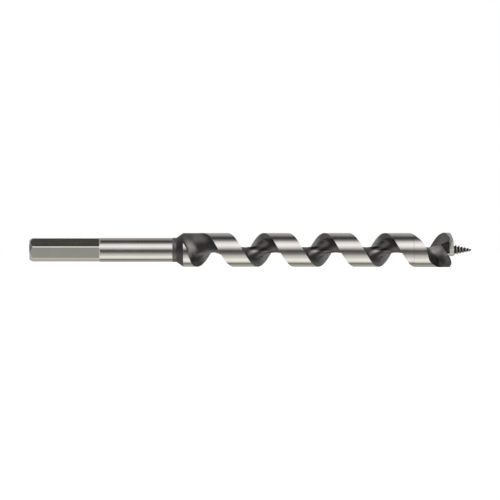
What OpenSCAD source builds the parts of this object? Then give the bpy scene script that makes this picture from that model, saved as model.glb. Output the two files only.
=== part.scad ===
// Wood auger bit: hex drive shank, tapered collar, single right-hand flight, cutting head and lead screw.
// The axis runs along +X from the centre of the butt end at the origin to the tip, and +Z is up.
// Angles about the axis are counted from +Z towards -Y, the way the bit turns when it cuts.

/* [Overall] */
// length from the butt end to the tip of the lead screw
overall_length = 230; // [215:1:260]
// cutting diameter, measured over the head
bit_d = 18; // [16:0.5:22]

/* [Hex shank] */
// distance across two opposite drive flats
hex_af = 11.1; // [10.9:0.1:11.9]
// length of the drive flats with their run-out
hex_length = 36.9; // [25:0.1:45]
// length over which a flat ramps out to the round bar
flat_runout = 0.6; // [0.4:0.1:3]
// angle of the first hexagon corner from the top
hex_turn = 16; // [0:0.1:60]
// diameter of the round bar
shank_d = 12.5; // [12.3:0.1:13]
// length of the round bar in front of the flats
round_length = 37.5; // [25:0.1:50]
// length of the butt chamfer
butt_chamfer_l = 1.7; // [0.5:0.1:3]
// height of the butt chamfer
butt_chamfer_h = 1; // [0.3:0.05:1.5]

/* [Weld collar] */
// diameter of the straight part of the collar
collar_d = 12.7; // [12.3:0.1:14]
// length of the straight part
collar_straight = 2.1; // [1:0.1:6]
// length of the cone up to the flight
collar_cone = 3.5; // [2:0.1:8]
// diameter of the tenon that runs through the collar
tenon_d = 7; // [5:0.1:8]
// depth of the tenon in the shank
tenon_reach = 12; // [6:0.5:20]
// radial gap between the tenon and its bores
tenon_gap = 0.04; // [0.02:0.01:0.2]

/* [Spiral] */
// amount that the spiral is smaller in diameter than the head
body_relief = 0.35; // [0.1:0.05:0.8]
// axial advance of the flight in one turn
pitch = 31.5; // [26:0.5:38]
// angle that the ground land covers
land_arc = 151; // [130:1:165]
// thickness of the core from the axis to the bottom of the flute
core_r = 1.42; // [1.2:0.02:2.2]
// undercut of the flute walls, where 90 is none
flute_undercut = 127; // [100:1:132]
// angle over which the flute reaches its full depth at the collar
flute_runout = 140; // [100:1:160]

/* [Cutter head] */
// length of the head from the seam to its front
head_length = 20.6; // [18:0.1:26]
// angle of the cutting lip from the top
lip_turn = 54.9; // [0:0.1:90]
// forward growth of the lip ahead of the flight, in degrees
lip_lead = 16; // [8:1:20]
// fall of the relief behind the lip, for each degree
lip_relief = 0.036; // [0.03:0.001:0.042]
// angle from the lip round to the spur wall, across the open flute
throat_arc = 126; // [110:1:140]
// axial thickness of the lip at its cutting edge
lip_thickness = 2; // [1.6:0.1:2.4]
// axial depth of the throat that is cut behind the lip
throat_depth = 4.5; // [3:0.1:5.5]
// slope of the throat's floor, which rises towards the lip
throat_slope = 32; // [20:1:36]
// wall between the throat's floor and the end of the stem bore
throat_wall = 0.37; // [0.3:0.01:0.6]
// axial distance of the spur tip behind the lip
spur_back = 0.9; // [0.5:0.1:2]
// radius of the nose boss
nose_r = 3.25; // [2.8:0.05:3.6]
// length of the nose boss
nose_length = 3.2; // [2.6:0.1:4]
// core thickness at the front of the head
head_core_r = 2.3; // [2.1:0.05:2.6]

/* [Lead screw] */
// length of the screw in front of the head
screw_length = 9.3; // [7:0.1:14]
// diameter over the first thread crest
screw_d = 5.9; // [5:0.1:6]
// depth of the thread at its base
thread_depth = 0.95; // [0.5:0.05:1.1]
// axial advance of the thread in one turn
thread_pitch = 1.58; // [1.2:0.02:2.4]
// diameter of the stem in the nose bore
stem_d = 2; // [1.6:0.1:2.2]
// length of the stem
stem_length = 3; // [2.4:0.1:4]
// radial gap between the stem and its bore
stem_gap = 0.03; // [0.02:0.01:0.1]

/* [Resolution] */
// turn of the flight between two cross-sections, halved at the run-out
section_step = 12; // [10:1:20]
// points across the flute, and as many across the land
section_points = 14; // [12:2:18]

/* [Hidden] */
$fn = 72;

shank_r = shank_d / 2;
shank_end = hex_length + round_length;
spiral_start = shank_end + collar_straight + collar_cone;
head_end = overall_length - screw_length;
head_start = head_end - head_length;
head_r = bit_d / 2;
body_r = head_r - body_relief / 2;
tenon_r = tenon_d / 2;
stem_r = stem_d / 2;
tenon_root = 1.5;
drill_point = 0.6;
flat_clear = 0.05;
tenon_space = 0.5;
stem_space = 0.3;

// the flute: its angle across the land edges, and where its centre line starts
flute_arc = 360 - land_arc;
flute_start = spiral_start + 0.75;
flute_narrow = 0.6;
flute_shift = 4;
shift_arc = 165;
shift_power = 1.8;
runin_arc = 10;
runin_bend = 55;
bend_start = 50;
bend_end = 165;
wall_start = 85;
wall_end = 150;
wall_round = 0.2;
wall_blend = 0.3;
fit_passes = 14;

// the head: relief, wing and throat shapes in front of the regular flight
lip_grow = 5.2;
lip_full = 2.5;
wing_shift = 1.3;
wing_grow = 5;
pocket_start = 6;
pocket_grow = 1.8;
pocket_cut = 2.2;
pocket_fade = 4.8;
pocket_back = 0.9;
core_grow = 7;
core_full = 3;
lip_bend = 93;
bend_full = 2;
spur_tip_r = head_r - 2;
spur_dish = 1.7;
spur_round = 1.1;
lip_round = 0.35;
nose_proud = 0.12;
front_end = head_end - nose_proud;
relief_end = 0.6;
throat_rise = 2.9;
throat_top = 4.35;
throat_foot = 1.8;
throat_corner = 0.2;
throat_lean = 1.05;
throat_back = 2;
lip_slant = 0.3;
spur_begin = 0.88;
ring_power = 0.85;
head_rings = 34;
front_rows = 5;

// the lead screw: cone of its crests and its plain point
point_length = 0.7;
point_r = 0.75;
point_depth = 0.3;
point_power = 0.6;
ridge_power = 2.4;
thread_start = 1.27;
rings_per_thread = 10;
thread_points = 20;

function ramp(a, b, v) = let (t = max(0, min(1, (v - a) / (b - a)))) t * t * (3 - 2 * t);
function unit(a, b, v) = max(0, min(1, (v - a) / (b - a)));
function mix(a, b, t) = a + (b - a) * t;
function at(x, r, turn) = [x, -r * sin(turn), r * cos(turn)];

// angle of the flight's leading edge at x, counted so that the lip is at lip_turn
function lead_edge(x) = lip_turn + 360 * (x - head_end) / pitch;
function flute_middle(x) = lead_edge(x) + flute_arc / 2;

// flute of the spiral, by its angle from the start of the flute
function flute_depth(turn) = (body_r - core_r) * ramp(-runin_arc, flute_runout, turn);
function flute_offset(turn) = flute_shift * pow(1 - unit(0, shift_arc, turn), shift_power);
function flute_half(turn) = flute_arc / 720 * pitch * mix(flute_narrow, 1, unit(0, shift_arc, turn));
function flute_bend(turn) = mix(runin_bend, flute_undercut, ramp(bend_start, bend_end, turn));

// axial distance of a point from the flute's centre line; s runs from -1 at the leading edge to 1
function flute_axial(s, turn) = -flute_half(turn) * sin(s * flute_bend(turn)) / sin(flute_bend(turn));
function flute_turn(x, s, turn, passes) =
    passes == 0 ? turn :
    let (found = 360 / pitch * (x - flute_start - flute_offset(turn) - flute_axial(s, turn)))
    flute_turn(x, s, (turn + found) / 2, passes - 1);
function flute_bowl(s, bend) = (1 - cos(s * bend)) / (1 - cos(bend));

// the run-out's trailing wall is straight, with a rounded foot, and turns into the bowl further on
function straight_wall(s) = (norm([s, wall_round]) - wall_round) / (norm([1, wall_round]) - wall_round);
function wall_share(s, turn) = (1 - ramp(wall_start, wall_end, turn)) * ramp(0, wall_blend, s);
function flute_rise(s, turn) = mix(flute_bowl(s, flute_bend(turn)), straight_wall(s), wall_share(s, turn));

// one cross-section of the spiral: across the flute, then back over the land
function body_point(x, s) =
    let (
        turn = flute_turn(x, s, 360 / pitch * (x - flute_start), fit_passes),
        r = body_r - flute_depth(turn) * (1 - flute_rise(s, turn))
    ) [turn + flute_middle(flute_start), r];
function body_section(x) =
    let (
        n = section_points,
        flute = [for (k = [0:n]) body_point(x, 2 * k / n - 1)],
        first = flute[0][0] + 360,
        last = flute[n][0]
    ) [
        each [for (p = flute) at(x, p[1], p[0])],
        each [for (k = [1:n - 1]) at(x, body_r, mix(last, first, k / n))]
    ];

// edges of the head: the lip grows forward from the flight, and a pocket leads up to the spur wall
function lip_edge(x) =
    min(lip_turn, lead_edge(x) + lip_lead * ramp(head_end - lip_grow, head_end - lip_full, x));
function wing_move(along) =
    wing_shift * ramp(0, wing_grow, along)
    - pocket_cut * ramp(pocket_start, pocket_start + pocket_grow, along)
    + pocket_back * ramp(0, pocket_fade, along - pocket_start - pocket_grow);
function spur_edge(x) =
    min(lip_turn + throat_arc, lead_edge(x) + flute_arc - 360 / pitch * wing_move(x - head_start));
function head_core(x) = mix(core_r, head_core_r, ramp(head_end - core_grow, head_end - core_full, x));
function head_bend(x) = mix(flute_undercut, lip_bend, ramp(head_end - core_grow, head_end - bend_full, x));

// a point of the head at x; k counts across the flute up to n, then back over the land
function head_point(x, k, n) =
    let (
        lip = lip_edge(x),
        spur = spur_edge(x),
        bend = head_bend(x),
        s = 2 * k / n - 1,
        half = (spur - lip) / 2,
        flute = (spur + lip) / 2 + half * sin(s * bend) / sin(bend),
        land = mix(spur, lip + 360, k / n - 1)
    ) k <= n
        ? [flute, mix(head_core(x), head_r, flute_bowl(s, bend))]
        : [land, head_r];

// distance of the front behind the lip; w runs from 0 at the lip back over the land to 1 at the spur
function lip_fall(w, r) =
    lip_relief * (360 - throat_arc) * w * ramp(0.7 * nose_r, 0.7 * head_r, r)
    + lip_round * pow(r / head_r, 4);
function spur_fall(r) =
    spur_back + (r < spur_tip_r
        ? spur_dish * pow((spur_tip_r - r) / (spur_tip_r - nose_r), 2)
        : spur_round * pow((r - spur_tip_r) / (head_r - spur_tip_r), 2));
function land_share(turn) =
    let (behind = lip_turn - turn, wrapped = behind - 360 * floor(behind / 360))
    wrapped / (360 - throat_arc);
function front_x(turn, r) =
    let (w = land_share(turn), across = (360 / (360 - throat_arc) - w) * (360 - throat_arc) / throat_arc)
    front_end - (w <= 1
        ? mix(lip_fall(min(w, relief_end), r), spur_fall(r), ramp(relief_end, spur_begin, w))
        : mix(lip_fall(0, r), spur_fall(r), ramp(0.4, 0.7, across)));

function head_front(k, n) =
    let (p = head_point(head_end, k, n))
    k == 0 ? front_end - lip_fall(0, p[1]) : k == n ? front_end - spur_fall(p[1]) : front_x(p[0], p[1]);
function head_ring(i, n) = [
    for (k = [0:2 * n - 1])
        let (
            x = mix(head_start, head_front(k, n), pow(i / head_rings, ring_power)),
            p = head_point(x, k, n)
        ) at(x, p[1], p[0])
];

// side faces between rings of m points, the first cap from flute to land, and grid faces
function side_faces(rings, m) = [
    for (i = [0:rings - 2], j = [0:m - 1])
        let (a = i * m + j, b = i * m + (j + 1) % m)
        each [[a, a + m, b], [b, a + m, b + m]]
];
function flip(faces) = [for (f = faces) [f[2], f[1], f[0]]];
function cap_faces(first, n) = [
    for (k = [0:n - 1])
        let (
            p = first + k,
            q = first + k + 1,
            near = first + (2 * n - k) % (2 * n),
            far = first + 2 * n - k - 1
        ) each k < n / 2
            ? [[p, q, far], if (k > 0) [p, far, near]]
            : [[p, q, near], if (k < n - 1) [q, far, near]]
];

// the front of the head: rows of points between its flute edge and its land edge
function front_point(k, row, n) =
    let (
        a = head_point(head_front(k, n), k, n),
        b = k == 0 || k == n ? a : head_point(head_front(2 * n - k, n), 2 * n - k, n),
        p = mix(at(0, a[1], a[0]), at(0, b[1], b[0]), row / front_rows)
    ) [front_x(atan2(-p[1], p[2]), norm(p)), p[1], p[2]];
function front_index(k, row, n, last, base) =
    row == 0 || k == 0 || k == n ? last + k :
    row == front_rows ? last + 2 * n - k :
    base + (k - 1) * (front_rows - 1) + row - 1;
function front_faces(n, last, base) = [
    for (k = [0:n - 1], row = [0:front_rows - 1])
        let (
            a = front_index(k, row, n, last, base),
            b = front_index(k + 1, row, n, last, base),
            c = front_index(k + 1, row + 1, n, last, base),
            d = front_index(k, row + 1, n, last, base)
        ) each [
            if (b != c) [c, b, a],
            if (a != d) [d, c, a]
        ]
];

// thread of the lead screw: a ridge that leans back, on a root cone
function crest_r(x) = mix(screw_d / 2, point_r, unit(0, screw_length - point_length, x));
function groove_depth(x) = mix(thread_depth, point_depth, unit(0, screw_length - point_length, x));
function ridge(x, turn) =
    let (t = (x - thread_start) / thread_pitch - turn / 360, f = t - floor(t))
    pow(abs(cos(180 * f)), ridge_power);
function point_share(x) = pow(1 - unit(screw_length - point_length, screw_length, x), point_power);
function thread_r(x, turn) = point_share(x) * (crest_r(x) - groove_depth(x) * (1 - ridge(x, turn)));

module along_x() {
    rotate([0, 90, 0]) children();
}

// round bar with a turned butt chamfer
module shank_bar() {
    rotate_extrude() polygon([
        [0, 0],
        [shank_r - butt_chamfer_h, 0],
        [shank_r, butt_chamfer_l],
        [shank_r, shank_end],
        [0, shank_end]
    ]);
}

// space inside the six flats, which opens out over the run-out
module flats_space() {
    hex_r = hex_af / 2 / cos(30);
    open_r = (shank_r + flat_clear) / cos(30);
    ramp_start = hex_length - flat_runout;
    translate([0, 0, -1]) cylinder(h = ramp_start + 1, r = hex_r, $fn = 6);
    translate([0, 0, ramp_start]) cylinder(h = flat_runout, r1 = hex_r, r2 = open_r, $fn = 6);
    translate([0, 0, hex_length]) cylinder(h = round_length + 1, r = shank_d);
}

// blind hole with a drilled point, from z = 0 down
module blind_hole(r, depth) {
    translate([0, 0, -depth]) cylinder(h = depth + 1, r = r);
    translate([0, 0, -depth - r * drill_point]) cylinder(h = r * drill_point, r1 = 0, r2 = r);
}

module hex_shank() {
    color([0.62, 0.62, 0.6])
    rotate([hex_turn, 0, 0]) along_x() difference() {
        intersection() {
            shank_bar();
            flats_space();
        }
        translate([0, 0, shank_end]) blind_hole(tenon_r + tenon_gap, tenon_reach + tenon_space);
    }
}

module weld_collar() {
    bore_r = tenon_r + tenon_gap;
    color([0.2, 0.19, 0.2])
    along_x() rotate_extrude() polygon([
        [bore_r, shank_end],
        [collar_d / 2, shank_end],
        [collar_d / 2, shank_end + collar_straight],
        [body_r, spiral_start],
        [bore_r, spiral_start]
    ]);
}

// the flight and its core, swept along the axis
module flight() {
    n = section_points;
    fine_end = spiral_start + pitch / 3;
    fine = ceil(120 / section_step * 2);
    coarse = ceil((head_start - fine_end) / pitch * 360 / section_step);
    rings = fine + coarse + 1;
    points = [
        for (i = [0:fine - 1]) each body_section(mix(spiral_start, fine_end, i / fine)),
        for (i = [0:coarse]) each body_section(mix(fine_end, head_start, i / coarse))
    ];
    polyhedron(points, [
        each side_faces(rings, 2 * n),
        each cap_faces(0, n),
        each flip(cap_faces((rings - 1) * 2 * n, n))
    ], convexity = 12);
}

module spiral_body() {
    color([0.3, 0.3, 0.3]) {
        flight();
        translate([shank_end - tenon_reach, 0, 0]) along_x()
            cylinder(h = spiral_start + tenon_root - shank_end + tenon_reach, r = tenon_r);
    }
}

// head with lip, throat and spur, swept from the seam to its relieved front
module head_form() {
    n = section_points + 4;
    last = head_rings * 2 * n;
    base = last + 2 * n;
    points = [
        for (i = [0:head_rings]) each head_ring(i, n),
        for (k = [1:n - 1], row = [1:front_rows - 1]) front_point(k, row, n)
    ];
    polyhedron(points, [
        each side_faces(head_rings + 1, 2 * n),
        each cap_faces(0, n),
        each front_faces(n, last, base)
    ], convexity = 12);
}

// throat behind the lip: a three-sided pocket, open on the flute's side, with a sloping floor
module throat_cut() {
    lip_back = head_end - lip_thickness;
    lip_top = lip_back - lip_slant;
    difference() {
        rotate([90, 0, 0]) translate([0, 0, -throat_back]) linear_extrude(head_r + throat_back) polygon([
            [lip_back - throat_depth, throat_rise],
            [lip_top - throat_corner, throat_top],
            [lip_top, throat_top - throat_corner],
            [lip_back, -throat_foot],
            [lip_back - throat_lean, -throat_foot - 0.2]
        ]);
        translate([head_end - stem_length - stem_space, -stem_r - stem_gap - throat_wall, 0])
            rotate([0, 0, -throat_slope]) translate([-head_r, 0, -head_r]) cube(2 * head_r);
    }
}

module cutter_head() {
    nose_start = head_end - nose_length;
    color([0.45, 0.44, 0.42]) difference() {
        union() {
            head_form();
            translate([nose_start, 0, 0]) along_x() cylinder(h = nose_length, r = nose_r);
        }
        throat_cut();
        translate([head_end, 0, 0]) along_x() blind_hole(stem_r + stem_gap, stem_length + stem_space);
    }
}

// tapered thread from the nose to the point
module thread_form() {
    m = thread_points;
    rings = ceil(screw_length / thread_pitch * rings_per_thread);
    points = [
        for (i = [0:rings - 1], j = [0:m - 1])
            let (x = i / (rings - 1) * (screw_length - 0.1), turn = 360 * j / m)
            at(head_end + x, thread_r(x, turn), turn),
        [head_end, 0, 0],
        [overall_length, 0, 0]
    ];
    polyhedron(points, [
        each side_faces(rings, m),
        for (j = [0:m - 1]) [j, (j + 1) % m, rings * m],
        for (j = [0:m - 1])
            let (a = (rings - 1) * m)
            [a + (j + 1) % m, a + j, rings * m + 1]
    ], convexity = 12);
}

module lead_screw() {
    color([0.16, 0.16, 0.14]) {
        thread_form();
        translate([head_end - stem_length, 0, 0]) along_x() cylinder(h = stem_length + 1, r = stem_r);
    }
}

hex_shank();
weld_collar();
spiral_body();
cutter_head();
lead_screw();
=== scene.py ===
"""Dressed model of a wood auger bit: bright shank, dark collar, spiral, cutting head and lead screw."""
import logging
import math
from dataclasses import dataclass, field
from enum import Enum
from typing import Any, Callable, Optional, Union

import bpy
import numpy as np
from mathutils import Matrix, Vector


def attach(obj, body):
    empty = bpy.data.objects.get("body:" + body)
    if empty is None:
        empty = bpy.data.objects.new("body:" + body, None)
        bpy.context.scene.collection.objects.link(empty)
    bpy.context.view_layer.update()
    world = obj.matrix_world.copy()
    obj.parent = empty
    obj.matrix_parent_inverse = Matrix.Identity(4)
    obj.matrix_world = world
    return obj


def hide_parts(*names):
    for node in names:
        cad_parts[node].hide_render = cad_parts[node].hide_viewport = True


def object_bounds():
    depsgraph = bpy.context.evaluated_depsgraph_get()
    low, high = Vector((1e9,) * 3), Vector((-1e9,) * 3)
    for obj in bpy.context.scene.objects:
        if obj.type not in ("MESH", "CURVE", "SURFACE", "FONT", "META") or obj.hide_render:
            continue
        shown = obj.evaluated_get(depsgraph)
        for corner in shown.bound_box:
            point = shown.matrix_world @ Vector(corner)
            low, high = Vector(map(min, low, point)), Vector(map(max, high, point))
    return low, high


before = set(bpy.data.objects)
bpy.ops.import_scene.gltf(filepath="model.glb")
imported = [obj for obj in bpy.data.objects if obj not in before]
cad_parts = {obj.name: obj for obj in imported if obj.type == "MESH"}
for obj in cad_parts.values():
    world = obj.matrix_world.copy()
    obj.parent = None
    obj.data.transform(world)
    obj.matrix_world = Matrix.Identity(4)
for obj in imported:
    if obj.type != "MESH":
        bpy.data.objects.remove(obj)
CAD_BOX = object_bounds()

LOG = logging.getLogger("auger_bit")
MM = 0.001
BODY = "root"
Array = np.ndarray
Colour = tuple[float, float, float]
# Two places or angles between which something changes.
Span = tuple[float, float]
BLACK: Colour = (0.0, 0.0, 0.0)
WHITE: Colour = (1.0, 1.0, 1.0)
WARM_GREY: Colour = (1.02, 1.0, 0.98)
# Corners this close, in metres, lie in one place or in one plane.
TOUCHING = 1e-7
# Reach of a drill past the face that it opens, in millimetres.
OVERCUT = 1.0


class Zone(Enum):
    """Parts of a swept skin that take a finish of their own."""

    FLUTE = 0
    LAND = 1
    FRONT = 2


class Join(Enum):
    """The ways a second solid is worked into a first."""

    UNION = "UNION"
    CUT = "DIFFERENCE"
    COMMON = "INTERSECT"


def ramp(low: float, high: float, value: Array) -> Array:
    """Smooth step from 0 at low to 1 at high."""
    t = np.clip((value - low) / (high - low), 0.0, 1.0)
    return t * t * (3.0 - 2.0 * t)


def unit(low: float, high: float, value: Array) -> Array:
    """Straight step from 0 at low to 1 at high."""
    return np.clip((value - low) / (high - low), 0.0, 1.0)


def fade(span: Span, value: Array) -> Array:
    """Smooth step from 1 at the start of a span to 0 at its end."""
    return 1.0 - ramp(*span, value)


def hump(up: Span, down: Span, value: Array) -> Array:
    """Smooth step up over one span and down again over another."""
    return ramp(*up, value) * fade(down, value)


def mix(first: Any, second: Any, share: Any) -> Any:
    """Blend of two values by a share from 0 to 1."""
    return first + (second - first) * share


def sind(degrees: Any) -> Any:
    """Sine of an angle in degrees."""
    return np.sin(np.radians(degrees))


def cosd(degrees: Any) -> Any:
    """Cosine of an angle in degrees."""
    return np.cos(np.radians(degrees))


def on_axis(x: Array, radius: Array, turn: Array) -> Array:
    """Points about the bit's axis.

    Args:
        x: distances along the axis, in millimetres.
        radius: distances from the axis, in millimetres.
        turn: angles from +Z towards -Y, in degrees.

    Returns:
        The points in metres, one row each.
    """
    x, radius, turn = np.broadcast_arrays(x, radius, turn)
    return np.stack([x, -radius * sind(turn), radius * cosd(turn)], axis=-1) * MM


def grey_bands(levels: list[tuple[float, float]]) -> list[tuple[float, Colour]]:
    """Bands of a slightly warm grey from (angle, level) pairs."""
    return [(turn, tuple(share * level for share in WARM_GREY)) for turn, level in levels]


class Wire:
    """A shader socket that works in arithmetic, each operation adding a Math node."""

    def __init__(self, bench: "Bench", socket: bpy.types.NodeSocket) -> None:
        """Keeps the bench that owns the nodes and the socket itself."""
        self.bench = bench
        self.socket = socket

    def __add__(self, other: "Value") -> "Wire":
        """Sum with a value or a wire."""
        return self.bench.math("ADD", self, other)

    __radd__ = __add__

    def __sub__(self, other: "Value") -> "Wire":
        """Difference from a value or a wire."""
        return self.bench.math("SUBTRACT", self, other)

    def __rsub__(self, other: "Value") -> "Wire":
        """Difference with the wire taken away."""
        return self.bench.math("SUBTRACT", other, self)

    def __mul__(self, other: "Value") -> "Wire":
        """Product with a value or a wire."""
        return self.bench.math("MULTIPLY", self, other)

    __rmul__ = __mul__

    def __truediv__(self, other: "Value") -> "Wire":
        """Quotient by a value or a wire."""
        return self.bench.math("DIVIDE", self, other)

    def __rtruediv__(self, other: "Value") -> "Wire":
        """Quotient with the wire as divisor."""
        return self.bench.math("DIVIDE", other, self)

    def __neg__(self) -> "Wire":
        """Wire with its sign changed."""
        return self.bench.math("MULTIPLY", self, -1.0)


Value = Union[float, Wire]


class Bench:
    """Adds and links the nodes of one shader tree."""

    # Numbers of the sockets that a Mix node uses for colours.
    MIX_SHARE, MIX_FIRST, MIX_SECOND, MIX_RESULT = 0, 6, 7, 2
    NOISE_MEAN = 0.5
    # Direction in which a seed moves a noise.
    SEED_WAY: Colour = (1.0, 0.7, -1.0)

    def __init__(self, tree: bpy.types.NodeTree) -> None:
        """Clears the tree it works on.

        Args:
            tree: node tree of a material or of the world.
        """
        self.tree = tree
        tree.nodes.clear()

    def add(self, kind: str, settings: Optional[dict[str, Any]] = None,
            sockets: Optional[dict[Union[str, int], Any]] = None) -> bpy.types.Node:
        """Adds one node.

        Args:
            kind: the node's type name.
            settings: attributes set before the sockets; "stops" holds a ramp's (place, colour) pairs.
            sockets: values or wires by socket name or number.

        Returns:
            The new node.
        """
        node = self.tree.nodes.new(kind)
        for name, value in (settings or {}).items():
            if name == "stops":
                self._set_stops(node.color_ramp, value)
            elif name == "interpolation" and hasattr(node, "color_ramp"):
                node.color_ramp.interpolation = value
            else:
                setattr(node, name, value)
        for name, value in (sockets or {}).items():
            if isinstance(value, Wire):
                self.tree.links.new(value.socket, node.inputs[name])
            else:
                node.inputs[name].default_value = value
        return node

    @staticmethod
    def _set_stops(colours: bpy.types.ColorRamp, stops: list[tuple[float, Colour]]) -> None:
        """Writes a ramp's stops in order.

        Args:
            colours: the ramp.
            stops: (place, colour) pairs.
        """
        for count, (place, colour) in enumerate(stops):
            if count < len(colours.elements):
                stop = colours.elements[count]
            else:
                stop = colours.elements.new(place)
            stop.position = place
            stop.color = (*colour, 1.0)

    def out(self, node: bpy.types.Node, name: Union[str, int] = 0) -> Wire:
        """Output of a node as a wire."""
        return Wire(self, node.outputs[name])

    def math(self, operation: str, first: Value, second: Value = 0.0) -> Wire:
        """Result of a Math node on two values."""
        return self.out(self.add("ShaderNodeMath", {"operation": operation}, {0: first, 1: second}))

    def step(self, value: Wire, span: Span) -> Wire:
        """Smooth step of a wire from 0 at the start of a span to 1 at its end."""
        node = self.add("ShaderNodeMapRange", {"interpolation_type": "SMOOTHSTEP"},
                        {"Value": value, "From Min": span[0], "From Max": span[1]})
        return self.out(node)

    def blend(self, share: Value, first: Any, second: Any) -> Wire:
        """Mix of two colours by a share.

        Args:
            share: part of the second colour, from 0 to 1.
            first: colour or wire at 0.
            second: colour or wire at 1.

        Returns:
            The mixed colour.
        """
        first, second = ((*c, 1.0) if isinstance(c, tuple) else c for c in (first, second))
        node = self.add("ShaderNodeMix", {"data_type": "RGBA"},
                        {self.MIX_SHARE: share, self.MIX_FIRST: first, self.MIX_SECOND: second})
        return self.out(node, self.MIX_RESULT)

    def noise(self, stretch: Colour, detail: float, rough: float, seed: float) -> Wire:
        """Noise on the piece's own coordinates.

        Args:
            stretch: cycles in a metre along X, Y and Z.
            detail: octaves of the noise.
            rough: weight of the finer octaves.
            seed: shift that tells two patterns apart.

        Returns:
            Noise value, around NOISE_MEAN.
        """
        place = self.add("ShaderNodeTexCoord")
        shift = tuple(seed * way for way in self.SEED_WAY)
        mapped = self.add("ShaderNodeMapping", None, {
            "Vector": self.out(place, "Object"), "Scale": stretch, "Location": shift})
        node = self.add("ShaderNodeTexNoise", None, {
            "Vector": self.out(mapped), "Scale": 1.0, "Detail": detail, "Roughness": rough})
        return self.out(node, "Fac")

    def along(self) -> Wire:
        """Place along the bit, in metres."""
        place = self.out(self.add("ShaderNodeTexCoord"), "Object")
        return self.out(self.add("ShaderNodeSeparateXYZ", None, {0: place}), "X")

    def mark(self, name: str) -> Wire:
        """Number stored on the mesh under a name."""
        return self.out(self.add("ShaderNodeAttribute", {"attribute_name": name}), "Fac")

    def bump(self, height: Wire, depth: float, strength: float) -> Wire:
        """Normal disturbed by a height.

        Args:
            height: wire with values from 0 to 1.
            depth: height of the relief in metres.
            strength: share of the relief that shows.

        Returns:
            The normal.
        """
        return self.out(self.add("ShaderNodeBump", None, {
            "Height": height, "Distance": depth, "Strength": strength}))

    def direct_rays(self) -> Wire:
        """1 for rays of the camera and for mirrored and transmitted ones, 0 for the rest.

        Returns:
            The sum of the three kinds of ray.
        """
        path = self.add("ShaderNodeLightPath")
        camera, glossy = self.out(path, "Is Camera Ray"), self.out(path, "Is Glossy Ray")
        return camera + glossy + self.out(path, "Is Transmission Ray")


@dataclass(frozen=True)
class MetalFinish:
    """A worked steel surface: two tones, a grain of tool marks, an optional stored mark of painted light
    and shade, and an optional second tone for wear and painted sheen.

    Its name differs from every slot of the record, because the imported model brings a plain material for
    each slot.
    """

    name: str
    tone: Colour
    shade: Colour
    roughness: float
    rough_range: float = 0.08
    grain: Colour = (5200.0, 150.0, 150.0)
    grain_detail: float = 3.0
    grain_seed: float = 1.3
    grain_depth: float = 0.000006
    grain_strength: float = 0.25
    cloud: float = 90.0
    cloud_detail: float = 4.0
    cloud_seed: float = 4.1
    cloud_span: Span = (0.3, 0.7)
    fine_weight: float = 0.6
    metal: float = 1.0
    seam: float = 0.0
    seam_tone: Colour = (0.7, 0.68, 0.665)
    seam_span: Span = (0.0001, 0.0005)
    # Name of a stored mark of painted light and shade: 0 gives black, 1 the full tone.
    shade_mark: str = ""
    matt_mark: str = ""
    matt_metal: float = 0.85
    matt_rough: float = 0.3
    # Second tone for worn edges, and on the screw's crests for a painted sheen as well.
    wear_and_sheen_mark: str = ""
    wear_and_sheen_tone: Colour = (0.72, 0.7, 0.68)
    wear_and_sheen_rough: float = 0.2
    wear_and_sheen_cloud: float = 0.5
    wear_and_sheen_span: Span = (0.35, 0.65)

    def material(self) -> bpy.types.Material:
        """Builds the finish, or returns it if it has been built.

        Returns:
            The material.
        """
        made = bpy.data.materials.get(self.name)
        if made:
            return made
        made = bpy.data.materials.new(self.name)
        made.use_nodes = True
        bench = Bench(made.node_tree)
        lines = bench.noise(self.grain, self.grain_detail, self.fine_weight, self.grain_seed)
        clouds = bench.noise((self.cloud,) * 3, self.cloud_detail, self.fine_weight, self.cloud_seed)
        tone = bench.blend(bench.step(clouds, self.cloud_span), self.shade, self.tone)
        uneven = (lines - bench.NOISE_MEAN) * self.rough_range
        rough = self.roughness + uneven + (clouds - bench.NOISE_MEAN) * self.rough_range
        metal: Value = self.metal
        if self.seam:
            away = bench.math("ABSOLUTE", bench.along() - self.seam)
            tone = bench.blend(bench.step(away, self.seam_span), self.seam_tone, tone)
        # The stored mark paints light and shade into the tone.
        if self.shade_mark:
            tone = bench.blend(bench.mark(self.shade_mark), BLACK, tone)
        if self.matt_mark:
            matt = bench.mark(self.matt_mark)
            metal = self.metal - matt * self.matt_metal
            rough = rough + matt * self.matt_rough
        # Lightens worn edges; on the screw's crests it also paints a sheen.
        if self.wear_and_sheen_mark:
            worn = bench.mark(self.wear_and_sheen_mark) + (clouds - bench.NOISE_MEAN) * self.wear_and_sheen_cloud
            worn = bench.step(worn, self.wear_and_sheen_span)
            tone = bench.blend(worn, tone, self.wear_and_sheen_tone)
            rough = rough + worn * (self.wear_and_sheen_rough - self.roughness)
        shader = bench.add("ShaderNodeBsdfPrincipled", None, {
            "Base Color": tone, "Metallic": metal, "Roughness": rough,
            "Normal": bench.bump(lines, self.grain_depth, self.grain_strength)})
        bench.add("ShaderNodeOutputMaterial", None, {"Surface": bench.out(shader)})
        return made


BRIGHT_BAR = MetalFinish("bright_ground_bar", (0.8, 0.77, 0.75), (0.76, 0.73, 0.71), 0.17)
BRIGHT_LAND = MetalFinish("bright_ground_land", (0.82, 0.797, 0.78), (0.775, 0.753, 0.735), 0.17,
                          seam=0.1998)
MILLED_FLAT = MetalFinish("milled_flat", (0.82, 0.82, 0.762), (0.78, 0.78, 0.72), 0.17,
                          grain=(900.0, 4200.0, 4200.0), grain_strength=0.2)
HEAT_BLACK = MetalFinish("heat_black_cone", (0.1, 0.09, 0.097), (0.105, 0.094, 0.102), 0.34,
                         cloud=260.0, metal=0.85)
HEAT_BLUE = MetalFinish("heat_blue_ring", (0.21, 0.198, 0.204), (0.17, 0.16, 0.166), 0.22,
                        cloud=260.0, metal=0.8)
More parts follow.
